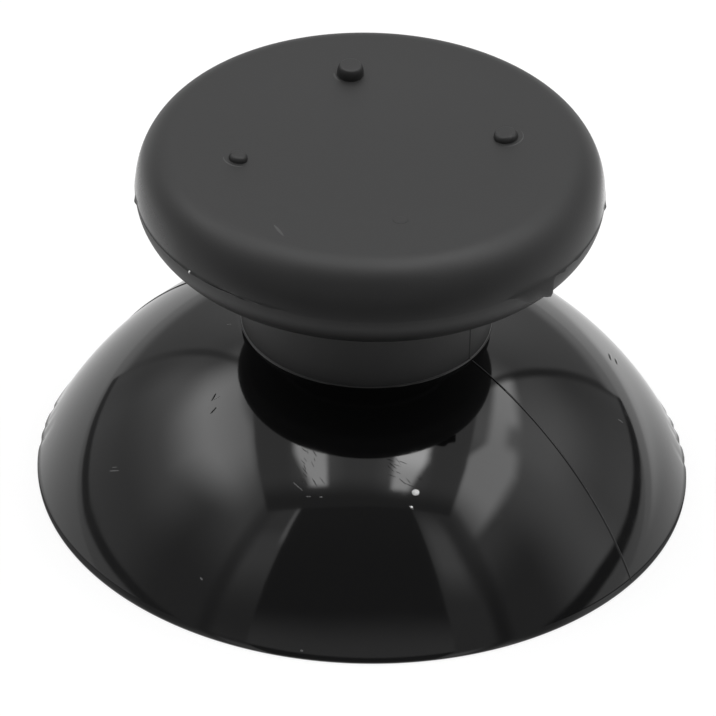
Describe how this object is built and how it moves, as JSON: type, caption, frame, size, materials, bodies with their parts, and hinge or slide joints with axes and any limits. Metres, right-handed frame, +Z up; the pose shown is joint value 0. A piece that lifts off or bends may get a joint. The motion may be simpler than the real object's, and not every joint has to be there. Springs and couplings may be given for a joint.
{
  "type": "game controller thumbstick cap",
  "caption": "Mushroom-shaped thumbstick cap: glossy domed skirt, short neck and a dished soft disc with raised pips, keyed socket underneath.",
  "frame": {"origin": "centre of the skirt's rim circle, in the plane of the rim that the cap stands on", "axes": "+Z up the cap's axis towards the dished disc; the four pips lie on the X and Y axes, with the tallest on +Y; the socket's flats face +Y and -Y"},
  "size_m": [0.026, 0.026, 0.0158],
  "materials": {
    "gloss_plastic": "polished black moulded plastic with a few fine scuffs",
    "soft_grip": "satin black moulded soft grip with a fine matte grain"
  },
  "bodies": {
    "root": {"skirt_base": "gloss_plastic", "grip_head": "soft_grip"}
  },
  "joints": []
}
